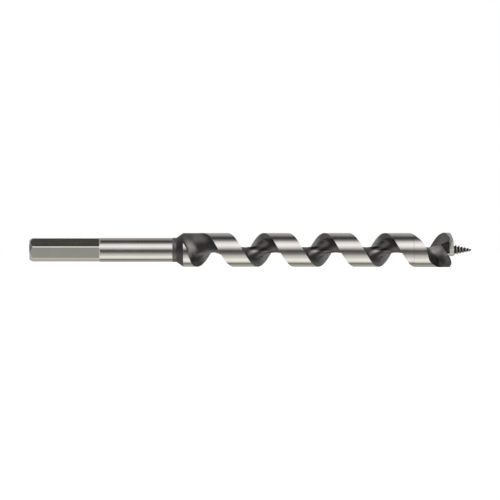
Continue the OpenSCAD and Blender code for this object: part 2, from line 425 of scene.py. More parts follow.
# The flute's dark finish, with painted light and shade from its shade mark; its second tone lightens worn
# edges.
FLUTE_OXIDE = MetalFinish("flute_oxide", (0.66, 0.625, 0.61), (0.58, 0.552, 0.538), 0.2,
                          grain=(700.0, 700.0, 700.0), cloud=170.0,
                          shade_mark="shade", matt_mark="matt", wear_and_sheen_mark="worn")
# The head's dark finish, with painted light and shade from its shade mark.
HEAD_OXIDE = MetalFinish("head_grey", (0.39, 0.366, 0.358), (0.34, 0.322, 0.315), 0.5,
                         grain=(800.0, 800.0, 800.0), cloud=200.0, metal=0.3, shade_mark="shade")
LIP_GROUND = MetalFinish("lip_ground", (0.56, 0.54, 0.52), (0.48, 0.46, 0.45), 0.38, 0.1,
                         grain=(400.0, 2600.0, 900.0), cloud=300.0, metal=0.5)
# Bright ground steel on the nose boss, partly a painted reflection: being half matt, it looks bright from
# every side.
NOSE_GROUND_SHEEN = MetalFinish("nose_ground_sheen", (0.78, 0.76, 0.73), (0.7, 0.68, 0.65), 0.4, 0.1,
                          grain=(900.0, 900.0, 900.0), cloud=300.0, metal=0.5)
# A near-black painted shade for the throat pocket and the stem's bore, which lie in deep shadow.
THROAT_PAINTED_SHADE = MetalFinish("throat_painted_shade", (0.07, 0.067, 0.064), (0.05, 0.048, 0.046), 0.5, 0.1,
                           grain=(900.0, 900.0, 900.0), cloud=400.0, metal=0.2)
# Dark thread whose crests take a bright tone, for wear and a painted sheen.
SCREW_OXIDE = MetalFinish("thread_oxide", (0.09, 0.088, 0.08), (0.06, 0.058, 0.054), 0.4, 0.1,
                          grain=(900.0, 900.0, 900.0), cloud=500.0, wear_and_sheen_mark="worn",
                          wear_and_sheen_tone=(0.85, 0.83, 0.78), wear_and_sheen_rough=0.12)


class Workshop:
    """Modelling steps shared by the pieces, each done with Blender's own operators."""

    # Label of the column number that a sheet stores on its corners.
    COLUMN = "column"
    BEVEL_FACETS = 2
    FLAT_WEIGHT = 100
    # How far past a pin's radius its corners are picked, in millimetres.
    PIN_MARGIN = 0.02

    @staticmethod
    def clear() -> None:
        """Leaves edit mode and selects nothing."""
        if bpy.context.object and bpy.context.object.mode != "OBJECT":
            bpy.ops.object.mode_set(mode="OBJECT")
        bpy.ops.object.select_all(action="DESELECT")

    @staticmethod
    def activate(piece: bpy.types.Object) -> None:
        """Makes one piece the only selected and active object.

        Args:
            piece: the piece to work on.
        """
        Workshop.clear()
        piece.select_set(True)
        bpy.context.view_layer.objects.active = piece

    @staticmethod
    def points(piece: bpy.types.Object) -> Array:
        """Corners of a piece, one row each, in metres.

        Args:
            piece: the piece to read.

        Returns:
            The corners.
        """
        flat = np.empty(len(piece.data.vertices) * 3)
        piece.data.vertices.foreach_get("co", flat)
        return flat.reshape(-1, 3)

    @staticmethod
    def at_x(piece: bpy.types.Object, x: float) -> Array:
        """True for each corner of a piece in the plane at X, in millimetres."""
        return np.abs(Workshop.points(piece)[:, 0] - x * MM) < TOUCHING

    @staticmethod
    def place(piece: bpy.types.Object, points: Array) -> None:
        """Moves every corner of a piece.

        Args:
            piece: the piece to shape.
            points: new corners in metres, in the order of the mesh.
        """
        piece.data.vertices.foreach_set("co", np.ascontiguousarray(points, dtype=np.float32).ravel())
        piece.data.update()

    @staticmethod
    def pick(piece: bpy.types.Object, chosen: Array) -> None:
        """Opens a piece in edit mode with some of its corners selected.

        Args:
            piece: the piece to edit.
            chosen: True for each corner to select.
        """
        Workshop.activate(piece)
        mesh = piece.data
        mesh.vertices.foreach_set("select", chosen)
        ends = np.empty(len(mesh.edges) * 2, dtype=np.int64)
        mesh.edges.foreach_get("vertices", ends)
        mesh.edges.foreach_set("select", chosen[ends.reshape(-1, 2)].all(axis=1))
        mesh.polygons.foreach_set("select", [bool(chosen[list(p.vertices)].all()) for p in mesh.polygons])
        bpy.ops.object.mode_set(mode="EDIT")
        bpy.ops.mesh.select_mode(type="VERT")

    @staticmethod
    def done() -> None:
        """Closes edit mode."""
        bpy.ops.object.mode_set(mode="OBJECT")

    @staticmethod
    def drum(name: str, start: float, end: float, radius: float, sides: int) -> bpy.types.Object:
        """Round bar along the axis.

        Args:
            name: name of the new piece.
            start: X of the first end, in millimetres.
            end: X of the other end.
            radius: radius in millimetres.
            sides: corners round the bar.

        Returns:
            The bar, with its place in its mesh.
        """
        Workshop.clear()
        bpy.ops.mesh.primitive_cylinder_add(
            vertices=sides, radius=radius * MM, depth=(end - start) * MM,
            location=((start + end) / 2 * MM, 0, 0), rotation=(0, math.pi / 2, 0))
        piece = bpy.context.object
        piece.name = piece.data.name = name
        bpy.ops.object.transform_apply(location=True, rotation=True, scale=True)
        return piece

    @staticmethod
    def draw_out(piece: bpy.types.Object, end: float, length: float, scale: float) -> None:
        """Extrudes an end face along the axis and scales it.

        Args:
            piece: the piece to lengthen.
            end: X of the end face, in millimetres.
            length: length to add, negative towards the butt.
            scale: size of the new end against the old one.
        """
        Workshop.pick(piece, Workshop.at_x(piece, end))
        bpy.ops.mesh.extrude_region_move(TRANSFORM_OT_translate={"value": (length * MM, 0, 0)})
        bpy.ops.transform.resize(value=(1, scale, scale), center_override=((end + length) * MM, 0, 0))
        Workshop.done()

    @staticmethod
    def draw_pin(piece: bpy.types.Object, end: float, face_r: float, radius: float, length: float) -> None:
        """Draws a pin back out of the middle of an end face.

        Args:
            piece: the piece that gets the pin.
            end: X of the end face, in millimetres.
            face_r: radius of the end face.
            radius: radius of the pin.
            length: length of the pin, towards the butt.
        """
        Workshop.draw_out(piece, end, 0.0, radius / face_r)
        points = Workshop.points(piece)
        middle = np.hypot(points[:, 1], points[:, 2]) < (radius + Workshop.PIN_MARGIN) * MM
        Workshop.pick(piece, Workshop.at_x(piece, end) & middle)
        bpy.ops.mesh.extrude_region_move(TRANSFORM_OT_translate={"value": (-length * MM, 0, 0)})
        Workshop.turn_out()

    @staticmethod
    def turn_out() -> None:
        """Turns all faces of the piece in edit mode outwards and closes edit mode."""
        bpy.ops.mesh.select_all(action="SELECT")
        bpy.ops.mesh.normals_make_consistent(inside=False)
        Workshop.done()

    @staticmethod
    def join(piece: bpy.types.Object, other: bpy.types.Object, how: Join) -> None:
        """Works a second solid into a piece and removes it.

        Args:
            piece: the solid that stays.
            other: the solid that is added, cut or kept in common.
            how: which of these.
        """
        Workshop.activate(piece)
        bpy.ops.object.modifier_add(type="BOOLEAN")
        step = piece.modifiers[-1]
        step.operation = how.value
        step.solver = "EXACT"
        step.material_mode = "TRANSFER"
        step.object = other
        bpy.ops.object.modifier_apply(modifier=step.name)
        bpy.data.objects.remove(other)

    @staticmethod
    def ease_edges(piece: bpy.types.Object, width: float, angle: float) -> None:
        """Rounds the sharp edges of a piece with an applied bevel.

        Args:
            piece: the piece to ease.
            width: width of the bevel in millimetres.
            angle: smallest angle of an edge that is eased, in degrees.
        """
        Workshop.activate(piece)
        bpy.ops.object.modifier_add(type="BEVEL")
        step = piece.modifiers[-1]
        step.width = width * MM
        step.segments = Workshop.BEVEL_FACETS
        step.limit_method = "ANGLE"
        step.angle_limit = math.radians(angle)
        step.use_clamp_overlap = True
        bpy.ops.object.modifier_apply(modifier=step.name)

    @staticmethod
    def smooth(piece: bpy.types.Object, angle: float) -> None:
        """Shades a piece smooth up to an angle in degrees."""
        Workshop.activate(piece)
        bpy.ops.object.shade_smooth_by_angle(angle=math.radians(angle))

    @staticmethod
    def true_flats(piece: bpy.types.Object) -> None:
        """Weights the normals by area, so that large faces stay flat beside eased edges.

        Args:
            piece: the piece to shade.
        """
        Workshop.activate(piece)
        bpy.ops.object.modifier_add(type="WEIGHTED_NORMAL")
        step = piece.modifiers[-1]
        step.weight = Workshop.FLAT_WEIGHT
        step.keep_sharp = True
        bpy.ops.object.modifier_apply(modifier=step.name)

    @staticmethod
    def weld(piece: bpy.types.Object) -> None:
        """Merges corners that touch and turns the faces outwards.

        Args:
            piece: the piece to weld.
        """
        Workshop.pick(piece, np.ones(len(piece.data.vertices), dtype=bool))
        bpy.ops.mesh.remove_doubles(threshold=TOUCHING)
        bpy.ops.mesh.dissolve_degenerate(threshold=TOUCHING)
        Workshop.turn_out()

    @staticmethod
    def fill(piece: bpy.types.Object, x: float) -> None:
        """Closes the open end of a skin at X, in millimetres.

        Args:
            piece: the skin.
            x: place of the open end.
        """
        Workshop.pick(piece, Workshop.at_x(piece, x))
        bpy.ops.mesh.edge_face_add()
        Workshop.done()

    @staticmethod
    def sheet(name: str, columns: int, rows: int,
              shape: Callable[[Array, Array], Array]) -> bpy.types.Object:
        """Lays a grid over a curved surface.

        Args:
            name: name of the new piece.
            columns: faces across the grid.
            rows: faces along the grid.
            shape: gives the points in metres for column and row numbers.

        Returns:
            The curved sheet, still open, with the column of each corner stored.
        """
        Workshop.clear()
        bpy.ops.mesh.primitive_grid_add(x_subdivisions=columns, y_subdivisions=rows, size=1)
        piece = bpy.context.object
        piece.name = piece.data.name = name
        flat = Workshop.points(piece)
        across = np.rint((flat[:, 0] + 0.5) * columns).astype(int)
        along = np.rint((flat[:, 1] + 0.5) * rows).astype(int)
        Workshop.place(piece, shape(across, along))
        mark = piece.data.attributes.new(Workshop.COLUMN, "INT", "POINT")
        mark.data.foreach_set("value", across.astype(np.int32))
        return piece

    @staticmethod
    def columns_of(piece: bpy.types.Object) -> Array:
        """Column of its sheet that each corner of a piece lies in.

        Args:
            piece: the piece to read.

        Returns:
            One number for each corner.
        """
        values = np.empty(len(piece.data.vertices), dtype=np.int32)
        piece.data.attributes[Workshop.COLUMN].data.foreach_get("value", values)
        return values

    @staticmethod
    def face_means(piece: bpy.types.Object, values: Array) -> Array:
        """Mean over each four-cornered face of a value that each corner has."""
        corners = np.array([list(face.vertices) for face in piece.data.polygons])
        return values[corners].mean(axis=1)

    @staticmethod
    def store(piece: bpy.types.Object, label: str, values: Array) -> None:
        """Stores a number on each corner for the finish to read."""
        mark = piece.data.attributes.new(label, "FLOAT", "POINT")
        mark.data.foreach_set("value", np.ascontiguousarray(values, dtype=np.float32))

    @staticmethod
    def dress(piece: bpy.types.Object, finishes: list[MetalFinish],
              of_face: Optional[Array] = None) -> None:
        """Gives a piece its finishes.

        Args:
            piece: the piece to dress.
            finishes: one finish for each slot.
            of_face: slot number of each face, where there is more than one.
        """
        piece.data.materials.clear()
        for finish in finishes:
            piece.data.materials.append(finish.material())
        if of_face is not None:
            piece.data.polygons.foreach_set("material_index", of_face.astype(np.int32))

    @staticmethod
    def hand_over(piece: bpy.types.Object, node: str, slot: str) -> None:
        """Puts a finished piece in the place of its node.

        Args:
            piece: the finished piece.
            node: name of the node that it stands for.
            slot: name of the material slot in the record; not used.
        """
        if Workshop.COLUMN in piece.data.attributes:
            piece.data.attributes.remove(piece.data.attributes[Workshop.COLUMN])
        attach(piece, BODY)
        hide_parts(node)
        LOG.info("%s: %d faces", piece.name, len(piece.data.polygons))


@dataclass
class BitSizes:
    """Sizes of the whole bit, in millimetres and degrees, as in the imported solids."""

    shank_end: float = 74.4
    spiral_start: float = 80.0
    head_start: float = 200.1
    head_end: float = 220.7
    tip: float = 230.0
    head_r: float = 9.0
    body_r: float = 8.825
    pitch: float = 31.5
    land_arc: float = 151.0
    lip_turn: float = 54.9
    core_r: float = 1.42
    undercut: float = 127.0

    @property
    def flute_arc(self) -> float:
        """Angle of the open flute between the land's edges."""
        return 360.0 - self.land_arc

    def lead_edge(self, x: Array) -> Array:
        """Angle of the flight's leading edge at a place along the axis."""
        return self.lip_turn + 360.0 * (x - self.head_end) / self.pitch


SIZES = BitSizes()


@dataclass
class HexShank:
    """Round bar with six milled flats, a chamfered butt and a socket for the tenon."""

    radius: float = 6.25
    flats: int = 6
    across_flats: float = 11.1
    flat_length: float = 36.9
    runout: float = 0.6
    corner_turn: float = 16.0
    chamfer_length: float = 1.7
    chamfer_height: float = 1.0
    socket_r: float = 3.54
    socket_depth: float = 12.5
    mill_back: float = 5.0
    mill_over: float = 0.05
    mill_flare: float = 2.0
    edge_width: float = 0.07
    edge_angle: float = 18.0
    smooth_angle: float = 30.0
    sides: int = 180
    socket_sides: int = 64

    def build(self) -> bpy.types.Object:
        """Models the bar, mills its flats and drills its socket.

        Returns:
            The finished shank.
        """
        bar = Workshop.drum("shank_bar", self.chamfer_length, SIZES.shank_end, self.radius, self.sides)
        Workshop.draw_out(bar, self.chamfer_length, -self.chamfer_length,
                          (self.radius - self.chamfer_height) / self.radius)
        Workshop.dress(bar, [BRIGHT_BAR])
        Workshop.join(bar, self._flats(), Join.COMMON)
        socket = Workshop.drum("socket_drill", SIZES.shank_end - self.socket_depth,
                               SIZES.shank_end + OVERCUT, self.socket_r, self.socket_sides)
        Workshop.dress(socket, [BRIGHT_BAR])
        Workshop.join(bar, socket, Join.CUT)
        Workshop.ease_edges(bar, self.edge_width, self.edge_angle)
        Workshop.smooth(bar, self.smooth_angle)
        Workshop.true_flats(bar)
        return bar

    def _flats(self) -> bpy.types.Object:
        """Six-sided space that the flats leave, opened out over their run-out.

        Returns:
            The solid that the bar is kept within.
        """
        to_corner = 1.0 / cosd(180.0 / self.flats)
        hex_r = self.across_flats / 2.0 * to_corner
        open_r = (self.radius + self.mill_over) * to_corner
        start = self.flat_length - self.runout
        space = Workshop.drum("flat_mill", -self.mill_back, start, hex_r, self.flats)
        corner = Workshop.points(space)[0]
        now = math.degrees(math.atan2(-corner[1], corner[2]))
        space.rotation_euler[0] = math.radians(self.corner_turn - now)
        bpy.ops.object.transform_apply(location=False, rotation=True, scale=False)
        Workshop.draw_out(space, start, self.runout, open_r / hex_r)
        Workshop.draw_out(space, self.flat_length, SIZES.shank_end, self.mill_flare)
        Workshop.dress(space, [MILLED_FLAT])
        return space


@dataclass
class WeldCollar:
    """Dark ring between the shank and the spiral, straight and then flared."""

    radius: float = 6.35
    straight: float = 2.1
    bore_r: float = 3.54
    edge_width: float = 0.12
    edge_angle: float = 25.0
    smooth_angle: float = 30.0
    ring_margin: float = 0.06
    sides: int = 160
    bore_sides: int = 64

    def build(self) -> bpy.types.Object:
        """Turns the ring and bores it.

        Returns:
            The finished collar.
        """
        knee = SIZES.shank_end + self.straight
        ring = Workshop.drum("collar_ring", SIZES.shank_end, knee, self.radius, self.sides)
        Workshop.draw_out(ring, knee, SIZES.spiral_start - knee, SIZES.body_r / self.radius)
        bore = Workshop.drum("collar_bore", SIZES.shank_end - OVERCUT, SIZES.spiral_start + OVERCUT,
                             self.bore_r, self.bore_sides)
        Workshop.join(ring, bore, Join.CUT)
        Workshop.ease_edges(ring, self.edge_width, self.edge_angle)
        middle = np.array([face.center.x for face in ring.data.polygons]) / MM
        Workshop.dress(ring, [HEAT_BLACK, HEAT_BLUE], np.where(middle < knee - self.ring_margin, 1, 0))
        Workshop.smooth(ring, self.smooth_angle)
        Workshop.true_flats(ring)
        return ring


@dataclass(frozen=True)
class FluteOxideAndPaintedLight:
    """Tone in the flute by place, as a share of the bare steel's tone: painted light and shade over the
    black finish's own tone.

    A name that ends in side is a span across the flute, from -1 at the leading edge to 1 at the trailing
    edge. A name that ends in turn is an angle or a span of angles along it, in degrees.
    """

    scoop_turn: Span = (205.0, 250.0)
    # The scoop is painted: its base is painted shade, and its cloud, top, flank and rim are painted light.
    scoop_base: float = 0.035
    cloud: float = 0.62
    cloud_in_side: Span = (0.1, 0.45)
    cloud_in_move: float = 0.2
    cloud_in_turn: Span = (90.0, 115.0)
    cloud_out_side: Span = (0.6, 0.88)
    cloud_out_move: float = 0.1
    cloud_out_turn: Span = (70.0, 95.0)
    cloud_up_turn: Span = (36.0, 78.0)
    cloud_down_turn: Span = (108.0, 132.0)
    top: float = 0.17
    top_turn: Span = (38.0, 66.0)
    top_side: Span = (-0.88, -0.4)
    top_dim: float = 0.5
    top_dim_side: Span = (0.0, 0.3)
    valley_side: Span = (0.05, 0.6)
    valley_turn: Span = (85.0, 165.0)
    flank: float = 0.4
    flank_side: Span = (0.05, 0.5)
    flank_turn: Span = (80.0, 110.0)
    flank_gain: float = 0.5
    flank_gain_turn: Span = (140.0, 190.0)
    rim: float = 0.12
    rim_side: Span = (0.6, 0.9)
    rim_turn: Span = (130.0, 190.0)
    # The floor is the black finish's own tone; the core is painted shade that turns into painted light
    # further along.
    floor: float = 0.2
    core: float = 0.55
    core_in_side: Span = (-0.3, -0.08)
    core_out_side: Span = (0.04, 0.16)
    core_gain: float = 1.4
    core_gain_turn: Span = (95.0, 120.0)
    # The leading and trailing walls carry painted light and shade that change along the flute.
    lead_side: Span = (0.7, 0.95)
    lead_wall: float = 0.32
    lead_lit: float = 0.6
    lead_lit_turn: Span = (50.0, 95.0)
    lead_lag_turn: float = 120.0
    trail_edge_side: Span = (0.15, 0.4)
    trail_edge_turn: Span = (150.0, 205.0)
    trail_width: float = 0.25
    trail_wall: float = 0.08
    trail_rim: float = 0.26
    trail_rim_side: Span = (0.55, 0.95)
    late_turn: Span = (195.0, 255.0)
    late_wall: float = 0.25
    late_rim: float = 0.45
    # The glint is a painted highlight across the core.
    glint: float = 0.21
    glint_width: Span = (0.05, 0.15)
    glint_slope: float = 0.0075
    glint_middle_turn: float = 81.0
    glint_up_turn: Span = (85.0, 122.0)
    glint_down_turn: Span = (130.0, 146.0)
    wall_matt: float = 0.8

    def _scoop(self, side: Array, start: Array) -> Array:
        """Painted light and shade in the scoop: a dark painted base with a lit cloud, its lit upper end,
        the lit flank beyond the valley, and the lit rim.

        Args:
            side: -1 at the leading edge to 1 at the trailing edge.
            start: degrees from the start of the flute.

        Returns:
            Share of the bare steel's tone.
        """
        inner = ramp(*self.cloud_in_side, side - self.cloud_in_move * unit(*self.cloud_in_turn, start))
        outer = fade(self.cloud_out_side, side - self.cloud_out_move * unit(*self.cloud_out_turn, start))
        cloud = self.cloud * inner * outer * hump(self.cloud_up_turn, self.cloud_down_turn, start)
        top = self.top * fade(self.top_turn, start) * ramp(*self.top_side, side)
        top = top * (1.0 - self.top_dim * ramp(*self.top_dim_side, side))
        valley = mix(*self.valley_side, unit(*self.valley_turn, start))
        flank = self.flank * ramp(*self.flank_turn, start) * ramp(*self.flank_side, valley - side)
        flank = flank * (1.0 + self.flank_gain * ramp(*self.flank_gain_turn, start))
        rim = self.rim * ramp(*self.rim_side, side) * ramp(*self.rim_turn, start)
        return self.scoop_base + cloud + top + flank + rim

    def _flight(self, side: Array, start: Array, lead: Array, trail: Array) -> Array:
        """Tone along the flight: the black finish's floor, with a painted shade on the core that turns to
        painted light further along, painted light and shade on its two walls, and a painted highlight on
        the core.

        Args:
            side: -1 at the leading edge to 1 at the trailing edge.
            start: degrees from the start of the flute.
            lead: share of the leading wall.
            trail: share of the trailing wall.

        Returns:
            Share of the bare steel's tone.
        """
        turn = np.mod(start, 360.0)
        core = self.core * hump(self.core_in_side, self.core_out_side, side)
        core = core * (1.0 - self.core_gain * ramp(*self.core_gain_turn, turn))
        lit = fade(self.lead_lit_turn, np.mod(start + self.lead_lag_turn, 360.0))
        tone = mix(self.floor * (1.0 - core), self.lead_wall + self.lead_lit * lit, lead)
        outer, late = ramp(*self.trail_rim_side, side), ramp(*self.late_turn, turn)
        wall = self.trail_wall + self.trail_rim * outer + late * (self.late_wall + self.late_rim * outer)
        off = np.abs(side - self.glint_slope * (turn - self.glint_middle_turn))
        glint = fade(self.glint_width, off) * hump(self.glint_up_turn, self.glint_down_turn, turn)
        return mix(tone, wall, trail) + self.glint * glint

    def tone(self, side: Array, start: Array) -> tuple[Array, Array]:
        """Tone with its painted light and shade: shiny on the floor of the flight, matt on its walls and in
        the scoop.

        Args:
            side: -1 at the leading edge to 1 at the trailing edge.
            start: degrees from the start of the flute.

        Returns:
            Share of the bare steel's tone that is left, painted light and shade included, and how matt the
            surface is.
        """
        scoop = fade(self.scoop_turn, start)
        edge = mix(*self.trail_edge_side, unit(*self.trail_edge_turn, np.mod(start, 360.0)))
        lead, trail = ramp(*self.lead_side, -side), ramp(0.0, self.trail_width, side - edge)
        shade = mix(self._flight(side, start, lead, trail), self._scoop(side, start), scoop)
        return shade, np.maximum(scoop, self.wall_matt * np.maximum(lead, trail))


@dataclass
class SpiralBody:
    """Single right-hand flight with its core, swept along the axis, and the tenon behind it.

    A name that ends in turn is a span of degrees from the start of the flute. The scoop is the shallow
    beginning of the flute, next to the collar.
    """

    start_shift: float = 0.75
    narrow: float = 0.6
    shift: float = 4.0
    shift_arc: float = 165.0
    shift_power: float = 1.8
    runin_arc: float = 10.0
    runin_bend: float = 55.0
    bend_turn: Span = (50.0, 165.0)
    runout: float = 140.0
    vee_turn: Span = (85.0, 150.0)
    vee_side: Span = (0.0, 0.3)
    vee_round: float = 0.2
    scoop_cut: float = 1.25
    scoop_cut_turn: Span = (62.0, 90.0)
    trail_cut: float = 0.28
    trail_up_turn: Span = (70.0, 120.0)
    trail_down_turn: Span = (150.0, 185.0)
    trail_side: Span = (0.1, 1.0)
    lead_first: float = 1.3
    lead_cut: float = 0.5
    lead_cut_turn: Span = (90.0, 200.0)
    lead_up_turn: Span = (0.0, 40.0)
    lead_down_turn: Span = (1180.0, 1330.0)
    lead_side: Span = (0.3, 1.0)
    passes: int = 40
    tenon_r: float = 3.5
    tenon_reach: float = 12.0
    flute_columns: int = 56
    land_columns: int = 32
    rows: int = 520
    row_power: float = 1.6
    row_crowding: float = 0.45
    wear_width: float = 0.05
    wear_turn: Span = (110.0, 170.0)
    bare_depth: Span = (0.01, 0.04)
    smooth_angle: float = 32.0
    oxide_and_painted_light: FluteOxideAndPaintedLight = FluteOxideAndPaintedLight()

    @property
    def flute_start(self) -> float:
        """X where the middle of the flute begins."""
        return SIZES.spiral_start + self.start_shift

    @property
    def middle_turn(self) -> float:
        """Angle of the middle of the flute where it begins."""
        return SIZES.lead_edge(self.flute_start) + SIZES.flute_arc / 2.0

    def _depth(self, turn: Array) -> Array:
        """Depth of the flute at an angle from its start."""
        return (SIZES.body_r - SIZES.core_r) * ramp(-self.runin_arc, self.runout, turn)

    def _bend(self, turn: Array) -> Array:
        """Roundness of the flute, over 90 where its walls are undercut."""
        return mix(self.runin_bend, SIZES.undercut, ramp(*self.bend_turn, turn))

    def _edge_cuts(self, turn: Array) -> tuple[Array, Array]:
        """Distances by which the trailing and the leading edge of the flute are cut back.

        Args:
            turn: degrees from the start of the flute.

        Returns:
            The two distances, in millimetres.
        """
        trail = self.scoop_cut * fade(self.scoop_cut_turn, turn)
        trail = trail + self.trail_cut * hump(self.trail_up_turn, self.trail_down_turn, turn)
        lead = mix(self.lead_first, self.lead_cut, ramp(*self.lead_cut_turn, turn))
        return trail, lead * hump(self.lead_up_turn, self.lead_down_turn, turn)

    def _axial(self, side: Array, turn: Array) -> Array:
        """Axial distance of a flute point from the middle of the flute.

        Args:
            side: -1 at the leading edge to 1 at the trailing edge.
            turn: degrees from the start of the flute.

        Returns:
            The distance in millimetres.
        """
        width = SIZES.flute_arc / 360.0 * SIZES.pitch
        width = width * mix(self.narrow, 1.0, unit(0.0, self.shift_arc, turn))
        bend = self._bend(turn)
        trail, lead = self._edge_cuts(turn)
        wall = -width / 2.0 * sind(side * bend) / sind(bend)
        return wall - trail * ramp(*self.trail_side, side) + lead * ramp(*self.lead_side, -side)

    def flute(self, x: Array, side: Array) -> tuple[Array, Array, Array]:
        """Flute surface of the spiral.

        Args:
            x: places along the axis, in millimetres.
            side: -1 at the leading edge to 1 at the trailing edge.

        Returns:
            Angle, radius and local depth of the flute.
        """
        turn = 360.0 / SIZES.pitch * (x - self.flute_start)
        for _ in range(self.passes):
            offset = self.shift * (1.0 - unit(0.0, self.shift_arc, turn)) ** self.shift_power
            found = 360.0 / SIZES.pitch * (x - self.flute_start - offset - self._axial(side, turn))
            turn = (turn + found) / 2.0
        depth, bend = self._depth(turn), self._bend(turn)
        rise = math.hypot(1.0, self.vee_round) - self.vee_round
        vee = (np.hypot(side, self.vee_round) - self.vee_round) / rise
        bowl = (1.0 - cosd(side * bend)) / (1.0 - cosd(bend))
        straight = fade(self.vee_turn, turn) * ramp(*self.vee_side, side)
        radius = SIZES.body_r - depth + depth * mix(bowl, vee, straight)
        return turn + self.middle_turn, radius, depth

    def _side(self, column: Array) -> Array:
        """Place across the flute of a column of the skin."""
        return np.clip(2.0 * column / self.flute_columns - 1.0, -1.0, 1.0)

    def _section(self, column: Array, row: Array) -> tuple[Array, Array, Array, Array]:
        """Place, radius, angle and cut depth of each grid point of the skin.

        Args:
            column: column numbers of the grid points.
            row: row numbers of the grid points.

        Returns:
            The four values, in millimetres and degrees.
        """
        share = row / self.rows
        span = SIZES.head_start - SIZES.spiral_start
        x = SIZES.spiral_start + span * mix(share, share ** self.row_power, self.row_crowding)
        turn, radius, depth = self.flute(x, self._side(column))
        first = self.flute(x, np.full_like(x, -1.0))[0] + 360.0
        over = np.clip((column - self.flute_columns) / self.land_columns, 0.0, 1.0)
        on_land = column > self.flute_columns
        turn = np.where(on_land, mix(turn, first, over), turn)
        radius = np.where(on_land, SIZES.body_r, radius)
        return x, radius, turn, np.where(on_land, 0.0, depth)

    def build(self) -> bpy.types.Object:
        """Sweeps the flight and draws out its tenon.

        Returns:
            The finished spiral.
        """
        kept: dict[str, Array] = {}

        def shape(column: Array, row: Array) -> Array:
            """Lays the grid points on the skin and keeps their wear, their painted light and shade, and how
            matt they are.

            Args:
                column: column numbers of the grid points.
                row: row numbers of the grid points.

            Returns:
                The points in metres.
            """
            x, radius, turn, depth = self._section(column.astype(float), row.astype(float))
            rim = np.clip(1.0 - (SIZES.body_r - radius) / self.wear_width, 0.0, 1.0) ** 2
            start = turn - self.middle_turn
            kept["worn"] = np.maximum(rim * ramp(*self.wear_turn, start), fade(self.bare_depth, depth))
            # The flute's tone with its painted light and shade, and how matt it is.
            kept["shade"], kept["matt"] = self.oxide_and_painted_light.tone(self._side(column), start)
            return on_axis(x, radius, turn)

        skin = Workshop.sheet("spiral_flight", self.flute_columns + self.land_columns, self.rows, shape)
        for label, values in kept.items():
            Workshop.store(skin, label, values)
        column = Workshop.face_means(skin, Workshop.columns_of(skin))
        zone = np.where(column < self.flute_columns, Zone.FLUTE.value, Zone.LAND.value)
        Workshop.dress(skin, [FLUTE_OXIDE, BRIGHT_LAND], zone)
        Workshop.weld(skin)
        Workshop.fill(skin, SIZES.head_start)
        Workshop.fill(skin, SIZES.spiral_start)
        length = SIZES.spiral_start - SIZES.shank_end + self.tenon_reach
        Workshop.draw_pin(skin, SIZES.spiral_start, SIZES.body_r, self.tenon_r, length)
        Workshop.smooth(skin, self.smooth_angle)
        return skin


@dataclass(frozen=True)
class HeadOxideAndPaintedLight:
    """Tone in the head's flute by place, as a share of the bare steel's tone, with painted light and shade.

    A name that ends in across is a span from 0 at the lip to 1 at the spur. A name that ends in along is a
    span in millimetres from the seam.
    """

    # The ground grows darker towards the spur and towards the front.
    base: Span = (0.52, 0.44)
    base_across: Span = (0.5, 0.7)
    front_dim: float = 0.3
    front_along: Span = (14.0, 17.5)
    # The facet and the ridge are painted light.
    facet_in_across: Span = (0.33, 0.42)
    facet_out_across: Span = (0.64, 0.72)
    facet_along: Span = (10.0, 15.5)
    ridge: float = 0.5
    ridge_in_across: Span = (0.52, 0.6)
    ridge_out_across: Span = (0.66, 0.72)
    ridge_along: Span = (13.5, 16.5)
    # A painted shade in a band by the spur.
    painted_shade: float = 0.8
    painted_shade_across: Span = (0.64, 0.73)
    painted_shade_lean: float = 0.1
    painted_shade_lean_along: Span = (7.5, 10.5)
    painted_shade_along: Span = (11.0, 13.2)
    painted_shade_slant: float = 1.2
    painted_shade_slant_across: Span = (0.7, 0.8)

    def tone(self, across: Array, along: Array) -> Array:
        """Tone: painted light on a facet and a ridge over a darker ground that dims towards the front, with
        a painted shade by the spur.

        Args:
            across: 0 at the lip to 1 at the spur.
            along: distances from the seam, in millimetres.

        Returns:
            Share of the bare steel's tone that is left.
        """
        painted_shade = ramp(*self.painted_shade_across, across + self.painted_shade_lean * fade(self.painted_shade_lean_along, along))
        painted_shade = painted_shade * fade(self.painted_shade_along, along - self.painted_shade_slant * unit(*self.painted_shade_slant_across, across))
        facet = hump(self.facet_in_across, self.facet_out_across, across) * fade(self.facet_along, along)
        ridge = hump(self.ridge_in_across, self.ridge_out_across, across) * ramp(*self.ridge_along, along)
        front = ramp(*self.front_along, along - unit(*self.base_across, across))
        base = mix(*self.base, ramp(*self.base_across, across)) * (1.0 - self.front_dim * front)
        return mix(base, 1.0, np.maximum(facet, self.ridge * ridge)) * (1.0 - self.painted_shade * painted_shade)


